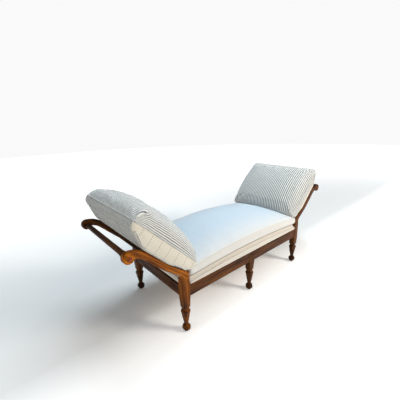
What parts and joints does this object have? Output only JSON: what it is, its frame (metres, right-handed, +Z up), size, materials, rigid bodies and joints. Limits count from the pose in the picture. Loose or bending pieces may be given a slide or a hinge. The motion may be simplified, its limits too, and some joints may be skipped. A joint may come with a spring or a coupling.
{
  "type": "recamier daybed",
  "caption": "Backless daybed: carved-leg timber frame with a sloping, scrolled arm frame at each end, a crowned mattress, and a boxed pillow on each arm frame.",
  "frame": {"origin": "on the floor, under the middle of the overall length and depth", "axes": "+X along the length towards the right end, +Y from the front to the back, +Z up"},
  "size_m": [2.056, 0.722, 0.9154],
  "materials": {
    "frame_wood": "warm brown hardwood with a soft wax polish",
    "inner_wood": "plain sawn and planed wood, unpolished",
    "linen": "cream plain-weave cloth",
    "ticking": "cream ticking with fine dark stripes",
    "fastener_steel": "plain steel"
  },
  "bodies": {
    "frame": {"leg_left_front": "frame_wood", "leg_left_back": "frame_wood", "leg_right_front": "frame_wood", "leg_right_back": "frame_wood", "leg_middle_front": "frame_wood", "leg_middle_back": "frame_wood", "side_rail_front": "frame_wood", "side_rail_back": "frame_wood", "end_rail_left": "frame_wood", "end_rail_right": "frame_wood", "arm_left_front": "frame_wood", "arm_left_back": "frame_wood", "arm_right_front": "frame_wood", "arm_right_back": "frame_wood", "scroll_button_left_front": "frame_wood", "scroll_button_left_back": "frame_wood", "scroll_button_right_front": "frame_wood", "scroll_button_right_back": "frame_wood", "top_bar_left": "frame_wood", "top_bar_right": "frame_wood", "lower_bar_left": "frame_wood", "lower_bar_right": "frame_wood", "cross_rail": "inner_wood", "ledger_left_front": "inner_wood", "ledger_left_back": "inner_wood", "ledger_right_front": "inner_wood", "ledger_right_back": "inner_wood", "corner_block_left_front": "inner_wood", "corner_block_left_back": "inner_wood", "corner_block_right_front": "inner_wood", "corner_block_right_back": "inner_wood", "seat_slat_01": "inner_wood", "seat_slat_02": "inner_wood", "seat_slat_03": "inner_wood", "seat_slat_04": "inner_wood", "seat_slat_05": "inner_wood", "seat_slat_06": "inner_wood", "seat_slat_07": "inner_wood", "seat_slat_08": "inner_wood", "seat_slat_09": "inner_wood", "seat_slat_10": "inner_wood", "tenon_pegs": "inner_wood", "arm_dowels": "inner_wood", "corner_bolts": "fastener_steel", "ledger_screws": "fastener_steel", "slat_screws": "fastener_steel", "seat_deck": "linen"},
    "mattress": {"mattress": "linen"},
    "pillow_left": {"pillow_left": "ticking"},
    "pillow_right": {"pillow_right": "ticking"}
  },
  "joints": [
    {"name": "mattress_lift", "type": "slide", "parent": "frame", "child": "mattress", "axis": [0, 0, 1], "range_m": [0, 0.36]},
    {"name": "pillow_left_lift", "type": "slide", "parent": "mattress", "child": "pillow_left", "axis": [0, 0, 1], "range_m": [0, 0.45]},
    {"name": "pillow_right_lift", "type": "slide", "parent": "mattress", "child": "pillow_right", "axis": [0, 0, 1], "range_m": [0, 0.45]}
  ]
}
